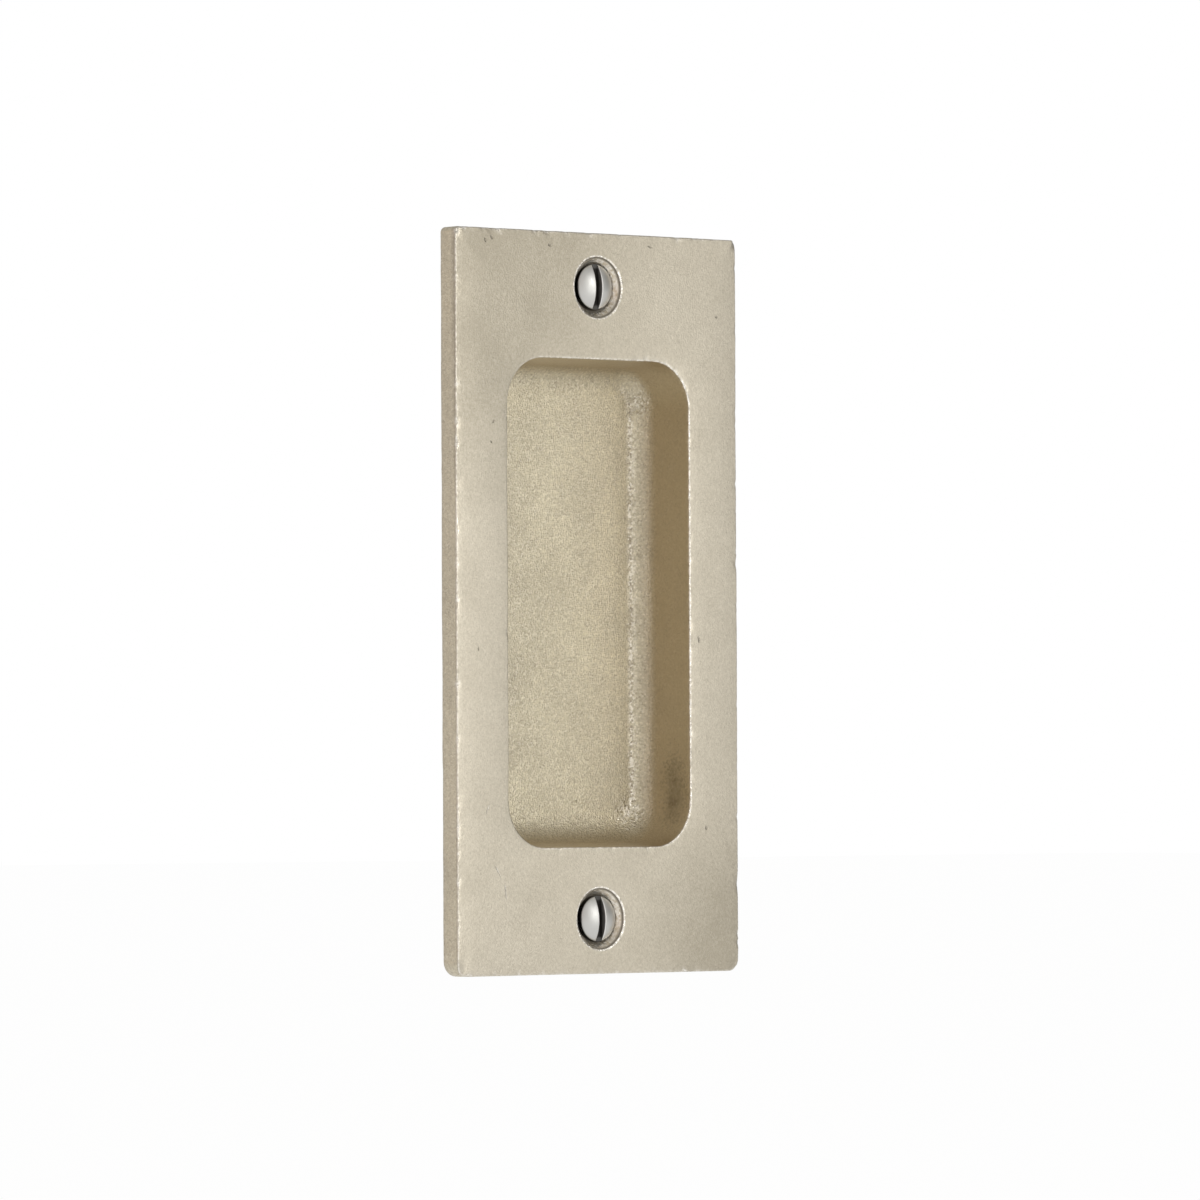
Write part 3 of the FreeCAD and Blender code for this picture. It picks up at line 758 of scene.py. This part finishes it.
@dataclass
class OvalHeadScrew:
    """A slotted oval-head wood screw along +Y, its crown out of the door. In millimetres and degrees."""
    crown: float  # Y of the crown before the slot is cut
    tip: float
    head: float = 3.9
    dome: float = 1.25
    land: float = 0.2
    shank: float = 2.085
    half_angle: float = 41.0
    neck: float = 2.1
    slot: float = 0.7  # half its width
    slot_depth: float = 1.35
    slot_lean: float = 1.4
    point: float = 4.6
    point_end: Pair = (0.12, 0.05)  # radius of its last ring, and how far that lies from the tip
    turns_from: float = 5.6  # from the head's rim to the thread
    pitch: float = 1.7
    core: float = 0.68  # radius between ridges, as a share
    ridge: tuple[float, float, float] = (0.06, 0.42, 1.3)  # half its crest, its flank, and the flank's curve
    columns: int = 22  # on each side of the slot
    slot_columns: int = 6
    rows: int = 40
    steps: tuple[int, int, int, int, int] = (6, 6, 4, 69, 49)  # down cone, neck, shank, thread and point
    lip: float = 0.14
    lip_drop: float = 0.08
    lip_shares: Profile = (0.6, 0.3, 0)
    rim: float = 0.14
    rim_drop: float = 0.05
    least: float = 0.03  # between the top and the slot's floor
    crease: float = 38.0  # sharpest angle that is shaded smooth
    aside: Pair = (2.0, -0.6)  # length over which the head's shift fades, and Y at which it is gone

    rim_wear: float = 0.3
    # Dirt and painted shade in the ring round the head's rim, where it meets the countersink.
    rim_dirt_and_shade: float = 0.9
    # Painted shade on the head's side wall and the slot's walls.
    wall_shade: float = 0.95
    slot_dirt_and_shade: Pair = (0.85, 0.8)  # dirt and painted shade on the slot's floor: least, and the distance from the ends over which it deepens
    hidden: float = 3.3  # length from the land that is darkened by painted shade inside the hole
    shaft_shade: Pair = (0.95, 0.2)  # painted shade there, inside the hole, and a little darkening on the rest

    def columns_across(self) -> tuple[Array, Array]:
        """Place the head's columns: close together at the rim and at the slot's worn lips.

        Returns:
            Distance of each column from the slot's middle, from left to right, and True where it is the floor's.
        """
        ease = np.sin(np.linspace(0, 1, self.columns + 1)[1:] * math.pi / 2)
        lips = -self.slot - self.lip * np.array(self.lip_shares)
        side = np.concatenate([-self.slot - self.lip - (self.head - self.slot - self.lip) * (1 - ease), lips])
        floor = np.linspace(-self.slot, self.slot, self.slot_columns + 1)
        across = np.concatenate([side, floor, -side[::-1]])
        number = np.arange(len(across))
        return across, (number >= len(side)) & (number < len(side) + len(floor))

    def head_ring(self, skin: Skin) -> Array:
        """Build the head down to the depth of the slot's floor.

        The top is one grid: a column stands at its own distance from the slot's middle and its rows run evenly
        from rim to rim, at the dome's height or on the slot's floor. The two columns at a lip make its wall.

        Args:
            skin: The surface.

        Returns:
            Point numbers once round the head at that depth.
        """
        x, on_floor = self.columns_across()
        deep = self.crown + self.slot_depth
        z = np.sqrt(self.head ** 2 - x ** 2)[:, None] * np.linspace(-1, 1, self.rows + 1)
        wide = np.broadcast_to(x[:, None], z.shape)
        bow = (self.head ** 2 + self.dome ** 2) / 2 / self.dome
        lip = np.clip(1 - (np.abs(wide) - self.slot) / self.lip, 0, 1)
        rim = np.clip((np.hypot(wide, z) - self.head) / self.rim + 1, 0, 1)
        dome = self.crown + bow - np.sqrt(bow ** 2 - wide ** 2 - z ** 2)
        dome = dome + self.lip_drop * lip ** 2 + self.rim_drop * rim ** 2
        y = np.where(on_floor[:, None], deep, np.minimum(dome, deep - self.least))
        worn = np.where(on_floor[:, None], 0, np.clip(lip + self.rim_wear * rim, 0, 1))
        # Dirt and painted shade on the slot's floor, deepest towards its middle, and round the head's rim.
        cleanest, gathers = self.slot_dirt_and_shade
        packed = np.clip((self.head - np.abs(z)) / gathers, cleanest, 1)
        grime_and_shade = np.where(on_floor[:, None], packed, self.rim_dirt_and_shade * rim ** 2)
        grid = skin.add_points(np.stack([wide, y, z], axis=-1) * MM, worn=worn, grimy=grime_and_shade)
        skin.add_grid(grid)
        height = self.crown + self.dome + self.rim_drop
        ends = np.array([[-self.head, height, 0], [self.head, height, 0]]) * MM
        tips = skin.add_points(ends, grimy=self.rim_dirt_and_shade)
        skin.add_fan(grid[0][::-1], tips[0])
        skin.add_fan(grid[-1], tips[1])
        tops = np.concatenate([[tips[0]], grid[:, 0], [tips[1]], grid[::-1, -1]])
        low = np.concatenate([[False], on_floor, [False], on_floor[::-1]])
        places = np.concatenate(skin.points)[tops]
        places[:, 1] = deep * MM
        # The walls down to the slot floor's depth, round the head and along the slot, are darkened as painted shade.
        feet = np.where(low, tops, skin.add_points(places, grimy=self.wall_shade))
        before, after = low & ~np.roll(low, 1), low & ~np.roll(low, -1)
        feet = np.where(np.roll(before, -1), np.roll(feet, -1), feet)
        feet = np.where(np.roll(after, 1), np.roll(feet, 1), feet)
        tall = ~(low | np.roll(low, -1))
        skin.add_grid(np.stack([np.append(tops, tops[0]), np.append(feet, feet[0])]), tall[None])
        return feet[feet != np.roll(feet, 1)]

    def shaft_section(self) -> tuple[Array, Array]:
        """Work out radius and Y from the head's land over cone, neck, shank and thread to the point.

        Returns:
            The rows, in an array of (rows, 2), and how deep the thread is cut at each, from 0 to 1.
        """
        lean = math.radians(self.half_angle)
        rim = self.crown + self.dome + self.land
        down = np.array([-math.sin(lean), math.cos(lean)])
        neck = np.array([self.shank, rim + (self.head - self.shank) / math.tan(lean)])
        start = rim + self.turns_from
        cone_steps, neck_steps, *shaft_steps = self.steps
        bend = turn_between(neck, -down, np.array([0.0, 1.0]), self.neck, neck_steps)[:, 0]
        rows = [blend_rows(np.array([self.head, rim]), bend[0], np.linspace(0, 1, cone_steps + 1)[:-1]), bend]
        radius, before_tip = self.point_end
        ends = (self.shank, start), (self.shank, self.tip - self.point), (radius, self.tip - before_tip)
        for end, steps in zip(ends, shaft_steps):
            rows.append(blend_rows(rows[-1][-1], np.array(end), np.linspace(0, 1, steps + 1)[1:]))
        section = np.concatenate(rows)
        return section, np.clip((section[:, 1] - start) / self.pitch, 0, 1)

    def shaft(self, skin: Skin, ring: Array) -> None:
        """Revolve the rest of the screw from the head's land to the point.

        The thread is a ridge that climbs by one pitch a turn: between ridges the radius drops to the core's
        share of the outer radius.

        Args:
            skin: The surface.
            ring: Point numbers once round the head.
        """
        rows, cut = self.shaft_section()
        places = np.concatenate(skin.points)[ring]
        bearing = np.unwrap(np.arctan2(places[:, 2], places[:, 0]))
        phase = (rows[:, 1:] - rows[0, 1]) / self.pitch - bearing / (2 * math.pi)
        off = np.abs(phase - np.round(phase)) * self.pitch
        crest, flank, curve = self.ridge
        ridge = np.clip(1 - (off - crest) / flank, 0, 1) ** curve
        radius = rows[:, :1] * (1 - cut[:, None] * (1 - self.core) * (1 - ridge))
        depth = np.broadcast_to(rows[:, 1:], radius.shape)
        grid = np.stack([radius * np.cos(bearing), depth, radius * np.sin(bearing)], axis=-1) * MM
        # Painted shade on the shaft inside the hole, and a little on the rest.
        grime_and_shade = np.where(rows[:, 1:] < rows[0, 1] + self.hidden, *self.shaft_shade)
        numbers = np.concatenate([ring[None], skin.add_points(grid, grimy=grime_and_shade)])
        skin.add_grid(np.concatenate([numbers, numbers[:, :1]], axis=1))
        tip = skin.add_points(np.array([[0, self.tip, 0]]) * MM)
        skin.add_fan(np.append(numbers[-1], numbers[-1, 0]), tip[0])

    def build(self, name: str, height: float, turn: float, shift: Pair) -> bpy.types.Object:
        """Build the screw and set it in place.

        Args:
            name: Name of the piece.
            height: Z of its axis in millimetres.
            turn: Turn about the Y axis in degrees, anticlockwise from the front.
            shift: How far its head sits to the right of and above the hole's axis, in millimetres.

        Returns:
            The finished piece.
        """
        skin = Skin()
        self.shaft(skin, self.head_ring(skin))
        places = np.concatenate(skin.points)
        angle = math.radians(turn + self.slot_lean)
        x = places[:, 0] * math.cos(angle) - places[:, 2] * math.sin(angle)
        z = places[:, 0] * math.sin(angle) + places[:, 2] * math.cos(angle)
        fade, gone = self.aside
        off = np.clip((gone * MM - places[:, 1]) / (fade * MM), 0, 1) * MM
        places = np.stack([x + off * shift[0], places[:, 1], z + height * MM + off * shift[1]], axis=-1)
        piece = skin.make(name, places)
        piece.data.set_sharp_from_angle(angle=math.radians(self.crease))
        return piece


def linear(colour: str) -> tuple[float, float, float, float]:
    """Turn an sRGB colour in hexadecimal into linear red, green, blue and alpha."""
    parts = [int(colour[place:place + 2], 16) / 255 for place in (0, 2, 4)]
    return (*[part / 12.92 if part <= 0.04045 else ((part + 0.055) / 1.055) ** 2.4 for part in parts], 1.0)


Node = bpy.types.Node
Socket = bpy.types.NodeSocket
Value = float | tuple | Node | Socket
CHOICES = {"Attribute": "attribute_name", "Mapping": "vector_type", "MapRange": "interpolation_type",
           "Math": "operation", "Mix": "data_type", "VectorMath": "operation"}
NOISE = (0.3, 0.7)


@dataclass(frozen=True)
class Mark:
    """A leaning oval on the metal: its middle, half sizes and lean to the right in degrees. In millimetres."""
    x: float
    z: float
    wide: float
    tall: float
    lean: float = 0.0
    y: float = -4.4
    deep: float = 1.5


@dataclass
class Recipe:
    """The nodes of a material or of the world while they are put together."""
    owner: bpy.types.Material | bpy.types.World

    def __post_init__(self) -> None:
        """Start without nodes."""
        self.owner.use_nodes = True
        self.owner.node_tree.nodes.clear()

    def add(self, kind: str, *inputs: Value, **named: Value) -> Node:
        """Add a node with its setting and links.

        Args:
            kind: The node's type without its "ShaderNode" and, after a space, the setting that it works by.
            *inputs: Value or source of each input that the node shows, in order. A node as a source gives the
                first output that it shows.
            **named: Value or source of further inputs, by name.

        Returns:
            The node.
        """
        kind, _, choice = kind.partition(" ")
        node = self.owner.node_tree.nodes.new(f"ShaderNode{kind}")
        if choice:
            setattr(node, CHOICES[kind], choice)
        given = list(zip([socket for socket in node.inputs if socket.enabled], inputs))
        given += [(node.inputs[name.replace("_", " ").title()], value) for name, value in named.items()]
        for socket, value in given:
            if isinstance(value, Node):
                value = next(output for output in value.outputs if output.enabled)
            if isinstance(value, Socket):
                self.owner.node_tree.links.new(value, socket)
            else:
                socket.default_value = value
        return node

    def grain(self, size: float, detail: float = 2.0, rough: float = 0.5, stretch: tuple = (1, 1, 1)) -> Node:
        """Add soft random grain, turned so that its lattice doesn't lie along the plate.

        Args:
            size: Size in millimetres.
            detail: Octaves of finer grain.
            rough: Strength of each octave beside the one before.
            stretch: Factor on each axis, which draws the grain out where it is below one.

        Returns:
            The noise, from 0 to 1.
        """
        place = self.add("TexCoord").outputs["Object"]
        turned = self.add("Mapping", place, rotation=(0.5, 0.9, 0.3), scale=stretch)
        return self.add("TexNoise", turned, 1 / (size * MM), detail, rough)

    def marks(self, marks: tuple[Mark, ...], edge: Value = 0.0) -> Node:
        """Shade small leaning ovals: one inside each, fading to nothing at its edge.

        Args:
            marks: The ovals.
            edge: Unevenness of the edge, as a share of the size.

        Returns:
            The strength at each place, the strongest of all the marks.
        """
        total: Value = 0.0
        for mark in marks:
            place = self.add("TexCoord").outputs["Object"]
            inside = self.add("Mapping TEXTURE", place, (mark.x * MM, mark.y * MM, mark.z * MM),
                              (0.0, math.radians(mark.lean), 0.0), (mark.wide * MM, mark.deep * MM, mark.tall * MM))
            away = self.add("Math ADD", self.add("VectorMath LENGTH", inside), edge)
            total = self.add("Math MAXIMUM", total, self.add("MapRange", away, 0.4, 1.0, 1.0, 0.0))
        return total


@dataclass(frozen=True)
class CastWhiteBronze:
    """White bronze, cast in sand and tumbled: silvery with a warm cast, its edges polished by wear."""
    metal: str = "CAC2B1"
    tarnish_and_shade: str = "AAA291"
    # Duller tarnish, also laid as painted shade on the recess floor's left.
    cast: str = "D2C9AF"
    tan: str = "D8C6A6"
    pore: str = "85796A"
    glint: str = "FFF8E8"
    bright: str = "FAF6EE"
    # Dark colour of stains, pits and dirt, and of the painted shade in the screw holes.
    dirt_and_shade: str = "2A221A"
    roughness: Pair = (0.34, 0.4)  # between clouds and in them
    depths: Profile = (0.2, 0.18, 0.05, 0.008, 0.1)  # of sand, clumps, knocks, scuffs and pits, in millimetres
    # Tarnished patches at the top left and bottom right of the face; the third, on the recess floor's left, is
    # painted shade near its wall.
    dulled_and_shaded: tuple[Mark, ...] = (
        Mark(-30, 60, 45, 50, 20), Mark(34, -64, 26, 30, -20), Mark(-20, 0, 26, 60, 0, 9.2, 3.0),
    )
    lumps: tuple[Mark, ...] = (Mark(17.0, 35.2, 3.2, 2.6, 20, 5.2, 3.0), Mark(15.6, -35.5, 3.6, 3.4, -20, 6.0, 3.5))
    stains: tuple[Mark, ...] = (Mark(20.3, -33.0, 2.8, 9.5, 0, -0.5, 4.0),)
    pits: tuple[Mark, ...] = (
        Mark(22.8, -6.0, 0.3, 0.8, -20), Mark(24.3, -38.7, 0.3, 0.6), Mark(-23.5, 30.5, 0.25, 0.5, 30),
        Mark(-23.9, 27.1, 0.25, 0.4, -30), Mark(-23.7, 61.9, 0.3, 0.6, -35), Mark(-25.1, 61.4, 0.25, 0.5, -30),
        Mark(-10.7, 61.0, 0.5, 0.3, 20), Mark(27.2, 50.0, 0.4, 0.4), Mark(-27.0, -8.0, 0.25, 0.4, 10),
        Mark(12.0, 61.6, 0.6, 0.25, 10), Mark(-3.8, -28.0, 0.35, 0.3, 0, 7.5), Mark(4.3, -33.9, 0.5, 0.3, 20, 7.5),
    )
    scratches: tuple[Mark, ...] = (
        Mark(-23.0, -45.6, 0.16, 1.6, -32), Mark(-21.2, -49.4, 0.16, 2.0, -8), Mark(-25.1, -35.2, 0.16, 1.5, 28),
    )

    def material(self) -> bpy.types.Material:
        """Put the finish together: fine sand in the recess, tumbling marks on the face, bright worn edges, painted
        highlight and painted shade.

        Returns:
            The material.
        """
        recipe = Recipe(bpy.data.materials.new("cast_white_bronze"))
        add, grain = recipe.add, recipe.grain
        worn, sandy, grimy, tanned = (add(f"Attribute {trait.value}").outputs["Fac"] for trait in Trait)

        # Grain, by size in millimetres: clouds of 9, patches of 1.6, mottling and scuffs of 0.5, flecks of 0.6. Real
        # moulding sand is 0.1 to 0.3, and its burnt-on clumps are 0.4 to 1.
        clouds, patches, mottle = grain(9.0, 3.0, 0.55), grain(1.6, 2.0, 0.6), grain(0.5, 2.0, 0.6)
        scuffs, flecks, dents = grain(0.5, 2.0, 0.5, (1, 1, 0.15)), grain(0.6), grain(0.5, 3.0, 0.6)
        place = add("TexCoord").outputs["Object"]
        fine, coarse, clumps = (add("TexVoronoi", place, 1 / (size * MM)).outputs for size in (0.3, 0.38, 0.9))
        dome, shade, coarse = fine["Distance"], fine["Color"], coarse["Color"]
        sand = add("Math ADD", add("Math MULTIPLY", shade, 0.6), add("Math MULTIPLY", dome, 0.4))
        grit = add("Math ADD", add("Math MULTIPLY", sandy, 0.8), 0.2)

        uneven = add("MapRange", grain(0.5), *NOISE, -0.25, 0.5)
        pitted, scratched, lumpy, stained = (
            recipe.marks(marks, uneven) for marks in (self.pits, self.scratches, self.lumps, self.stains))
        # Painted sparkle along the recess's right foot, and the sandy clumps.
        sparkle_and_clumps = add("Math MAXIMUM", add("Math MULTIPLY", worn, sandy), add("Math MULTIPLY", lumpy, 0.4))

        mottled = add("MapRange", mottle, *NOISE, 0.0, 0.45)
        # Duller tarnish in clouds, mottling and patches, and painted shade on the recess floor's left.
        duller_and_shaded = add("Math ADD", add("MapRange", clouds, 0.35, 0.7, 0.0, 0.2), mottled)
        duller_and_shaded = add("Math ADD", duller_and_shaded, add("Math MULTIPLY", recipe.marks(self.dulled_and_shaded), 0.62))
        pores = add("Math MULTIPLY", add("MapRange", shade, 0.5, 0.05), grit)
        pores = add("Math MULTIPLY", pores, add("MapRange", patches, 0.35, 0.65, 0.5, 1.2))
        pores = add("Math MULTIPLY", pores, add("MapRange", lumpy, 0.0, 1.0, 1.0, 0.5))
        gaps = add("Math MULTIPLY", sparkle_and_clumps, add("MapRange", coarse, 0.42, 0.2, 0.0, 1.3))
        glints = add("Math MULTIPLY", add("MapRange", shade, 0.6, 0.95), add("Math ADD", grit, lumpy))
        # Bright worn edges, flecked; the painted highlight and painted light carried with the wear brighten here too.
        edge = add("Math MULTIPLY", worn, add("MapRange", flecks, 0.38, 0.58, 0.15, 1.0))
        edge = add("Math MULTIPLY", edge, add("MapRange", sandy, 0.5, 1.0, 1.0, 0.3))
        # Bright specks: painted sparkle on the recess's right foot and on the clumps.
        specks = add("Math MULTIPLY", sparkle_and_clumps, add("MapRange", coarse, 0.5, 0.66, 0.0, 1.5))
        edge = add("Math MAXIMUM", add("Math MAXIMUM", edge, specks), add("Math MULTIPLY", scratched, 0.5))
        stained = add("Math MULTIPLY", stained, add("MapRange", patches, *NOISE, 0.25, 0.6))
        # Dirt and painted shade from the trait, dirt in the pits, and stains.
        dirt_and_shade_mix = add("Math MAXIMUM", grimy, add("Math MULTIPLY", pitted, 0.36))
        dirt_and_shade_mix = add("Math MAXIMUM", dirt_and_shade_mix, stained)

        colour: Value = linear(self.metal)
        for share, strength, over in (
                (sandy, 1.0, self.cast), (duller_and_shaded, 1.0, self.tarnish_and_shade), (tanned, 0.6, self.tan),
                (pores, 0.45, self.pore), (glints, 0.3, self.glint), (gaps, 1.0, self.pore),
                (edge, 1.0, self.bright), (dirt_and_shade_mix, 0.8, self.dirt_and_shade)):
            share = share if strength == 1.0 else add("Math MULTIPLY", share, strength)
            colour = add("Mix RGBA", share, colour, linear(over))

        rough = add("Math ADD", add("MapRange", clouds, *NOISE, *self.roughness), add("Math MULTIPLY", sandy, 0.08))
        rough = add("Math SUBTRACT", rough, add("Math MULTIPLY", edge, 0.12))
        rough = add("Math ADD", rough, add("Math MULTIPLY", grimy, 0.4))

        heights = (add("Math MULTIPLY", sand, grit), add("Math MULTIPLY", clumps["Distance"], lumpy),
                   add("Math MULTIPLY", add("MapRange", dents, *NOISE, -1.0, 1.0), worn), scuffs,
                   add("Math SUBTRACT", 1.0, add("Math MAXIMUM", pitted, scratched)))
        before: dict[str, Value] = {}
        for height, depth in zip(heights, self.depths):
            before = {"normal": add("Bump", strength=1.0, distance=depth * MM, height=height, **before)}
        metallic = add("MapRange", grimy, 0.0, 1.0, 1.0, 0.1)
        shader = add("BsdfPrincipled", colour, metallic, rough, **before)
        add("OutputMaterial", shader)
        return recipe.owner


@dataclass(frozen=True)
class NickelPlatedSteel:
    """Nickel plate on a turned and slotted steel screw: grey, a little hazy, darkened down the slot, round the head
    and on the hidden shaft by dirt and painted shade.
    """
    metal: str = "C5C4C0"
    bright: str = "FBFAF6"
    # Dark colour of the dirt and painted shade down the slot, round the head and on the hidden shaft.
    dirt_and_shade: str = "17130F"
    roughness: Pair = (0.38, 0.48)
    haze: float = 1.6  # size of the hazy patches in millimetres
    turning: Pair = (0.12, 0.006)  # size and depth of the turning marks in millimetres

    def material(self) -> bpy.types.Material:
        """Put the finish together.

        Returns:
            The material.
        """
        recipe = Recipe(bpy.data.materials.new("nickel_plated_steel"))
        add = recipe.add
        worn, grimy = (add(f"Attribute {trait.value}").outputs["Fac"] for trait in (Trait.WORN, Trait.GRIMY))
        colour: Value = linear(self.metal)
        # Bright worn lips, then the dirt and painted shade.
        for share, strength, over in ((worn, 0.8, self.bright), (grimy, 0.95, self.dirt_and_shade)):
            colour = add("Mix RGBA", add("Math MULTIPLY", share, strength), colour, linear(over))
        hazy = add("MapRange", recipe.grain(self.haze, 3.0, 0.6), *NOISE, *self.roughness)
        rough = add("Math ADD", hazy, add("Math MULTIPLY", grimy, 0.3))
        size, depth = self.turning
        normal = add("Bump", strength=1.0, distance=depth * MM, height=recipe.grain(size))
        add("OutputMaterial", add("BsdfPrincipled", colour, 1.0, rough, normal=normal))
        return recipe.owner


def outward(bearing: float, height: float) -> Array:
    """Find the unit way out from the pull at a bearing and a height in degrees, the bearing from the front right."""
    a, e = math.radians(bearing), math.radians(height)
    return np.array([math.sin(a) * math.cos(e), -math.cos(a) * math.cos(e), math.sin(e)])


def facing(back: Array, place: Array, roll: float = 0.0) -> Matrix:
    """Set a camera or lamp: its back as given, its right side level but for the roll.

    Args:
        back: Unit direction that its back faces.
        place: Its place in metres.
        roll: Roll in degrees.

    Returns:
        The matrix of its place and turn.
    """
    right = np.array([-back[1], back[0], 0.0]) / math.hypot(back[0], back[1])
    up = np.cross(back, right)
    c, s = math.cos(math.radians(roll)), math.sin(math.radians(roll))
    turn = np.stack([c * right + s * up, c * up - s * right, back], axis=1)
    return Matrix([*([*row, at] for row, at in zip(turn, place)), [0, 0, 0, 1]])


@dataclass(frozen=True)
class Softbox:
    """A studio lamp that looks at the pull. In metres, and in degrees from the front to the right and up."""
    name: str
    bearing: float
    height: float
    distance: float
    width: float
    tall: float
    strength: float

    def light(self) -> None:
        """Hang the lamp."""
        back = outward(self.bearing, self.height)
        data = bpy.data.lights.new(self.name, "AREA")
        data.shape, data.size, data.size_y = "RECTANGLE", self.width, self.tall
        data.energy = self.strength * math.pi * self.width * self.tall
        lamp = bpy.data.objects.new(self.name, data)
        lamp.matrix_world = facing(back, back * self.distance)
        bpy.context.scene.collection.objects.link(lamp)


@dataclass(frozen=True)
class Wall:
    """A side of the surround: the way to its middle, and the cosines at which its colour starts and is full."""
    way: tuple[float, float, float]
    start: float
    full: float
    colour: str


@dataclass
class Studio:
    """Pale floor, pale surround, soft lamps and the photograph's camera. In millimetres and degrees."""
    floor_height: float = -108.0
    floor_reach: float = 6000.0
    floor_cells: int = 24
    bearing: float = -40.80
    elevation: float = -1.30
    roll: float = -0.259
    distance: float = 1438.0
    focal_pixels: float = 8393.0
    frame_pixels: float = 1200.0
    clip: Pair = (0.01, 100.0)  # in metres
    aim_right: float = 0.07
    aim_up: float = 0.53
    white: str = "FFFFFF"
    floor: str = "FAFAF9"
    fade: float = 0.97  # how far the floor fades to white where it is seen
    shade: str = "DEDDDA"
    walls: tuple[Wall, ...] = (  # each laid over those before
        Wall((0.966, 0.259, 0), 0.42, 0.85, "807F7D"),
        Wall((-1, 0, 0), 0.2, 0.8, "FAEDE6"),
        Wall((0.65, 0.76, 0), 0.92, 0.985, "FFFFFF"),
        Wall((0, 0, 1), 0.25, 1.0, "C4C3C1"),
    )
    softboxes: tuple[Softbox, ...] = (
        Softbox("right_softbox", 25, 8, 1.0, 0.46, 0.8, 1.05),
        Softbox("front_strip", 14, 6, 1.0, 0.1, 0.9, 6.5),
    )

    def camera(self, front: float) -> None:
        """Set up the photograph's camera.

        Args:
            front: Y of the plate's front face, from which its place is measured.
        """
        back = outward(self.bearing, self.elevation)
        data = bpy.data.cameras.new("camera")
        data.lens = self.focal_pixels / self.frame_pixels * data.sensor_width
        data.clip_start, data.clip_end = self.clip
        camera = bpy.data.objects.new("camera", data)
        aim = Matrix.Translation((self.aim_right * MM, self.aim_up * MM, self.distance * MM))
        camera.matrix_world = Matrix.Translation((0, front * MM, 0)) @ (facing(back, back * 0, self.roll) @ aim)
        bpy.context.scene.collection.objects.link(camera)
        bpy.context.scene.camera = camera

    def surround(self) -> None:
        """Light the world pale all round, with each wall's colour growing in by the cosine from its middle."""
        world = bpy.data.worlds.new("studio")
        bpy.context.scene.world = world
        add = Recipe(world).add
        way = add("TexCoord").outputs["Generated"]
        colour: Value = linear(self.shade)
        for wall in self.walls:
            towards = add("VectorMath DOT_PRODUCT", way, wall.way)
            share = add("MapRange SMOOTHSTEP", towards, wall.start, wall.full)
            colour = add("Mix RGBA", share, colour, linear(wall.colour))
        add("OutputWorld", add("Background", colour, 1.0))

    def lay_floor(self) -> None:
        """Lay a plain pale floor that fades to the white surround and keeps the pull's soft shadow."""
        reach = self.floor_reach * MM
        along = np.linspace(-reach, reach, self.floor_cells + 1)
        x, y = np.meshgrid(along, along, indexing="ij")
        skin = Skin()
        numbers = skin.add_points(np.stack([x, y, np.full_like(x, self.floor_height * MM)], axis=-1))
        skin.add_grid(numbers, turned=True)
        piece = skin.make("studio_floor", np.concatenate(skin.points))
        add = (recipe := Recipe(bpy.data.materials.new("floor_paper"))).add
        paper, glow = add("BsdfDiffuse", linear(self.floor)), add("Emission", linear(self.white), 1.0)
        path = add("LightPath").outputs
        seen = add("Math MAXIMUM", path["Is Camera Ray"], path["Is Glossy Ray"])
        seen = add("Math MAXIMUM", seen, path["Is Transmission Ray"])
        add("OutputMaterial", add("MixShader", add("Math MULTIPLY", seen, self.fade), paper, glow))
        piece.data.materials.append(recipe.owner)

    def build(self, front: float) -> None:
        """Set up floor, surround, lamps, camera and the plain view of colours.

        Args:
            front: Y of the plate's front face.
        """
        bpy.context.scene.view_settings.view_transform = "Standard"
        self.lay_floor()
        self.surround()
        for softbox in self.softboxes:
            softbox.light()
        self.camera(front)


def dress(piece: bpy.types.Object, node: str, material: bpy.types.Material) -> None:
    """Give a piece its finish, hang it under the root body, and hide the CAD node that it stands for.

    Args:
        piece: The piece.
        node: Name of the CAD node.
        material: The finish.
    """
    piece.data.materials.append(material)
    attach(piece, "root")
    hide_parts(node)
    log.info("%s: %d points, %d faces", piece.name, len(piece.data.vertices), len(piece.data.polygons))


def main() -> None:
    """Build the studio, the casting and the two screws."""
    logging.basicConfig(level=logging.INFO, format="%(message)s")
    low, high = (np.array(corner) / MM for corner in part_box("pull_body"))
    screw_low, screw_high = (np.array(corner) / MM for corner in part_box("mounting_screws"))
    front, plate_corner = float(low[1]), 1.0
    Studio().build(front)
    body = PullBody(front, float(high[1]), Outline(float(high[0]), float(high[2]), plate_corner))
    dress(body.build(), "pull_body", CastWhiteBronze().material())
    slot_takes = 0.034  # height that the slot takes off the crown, so that the CAD box ends this far below it
    screw = OvalHeadScrew(crown=float(screw_low[1]) - slot_takes, tip=float(screw_high[1]))
    plating = NickelPlatedSteel().material()
    upper, lower = body.screw_heights
    places = (("upper_screw", upper, 0.0, (0.2, 0.15)), ("lower_screw", lower, 180.0, (0.28, 0.0)))
    for name, height, turn, shift in places:
        dress(screw.build(name, height, turn, shift), "mounting_screws", plating)


if __name__ == "__main__":
    main()
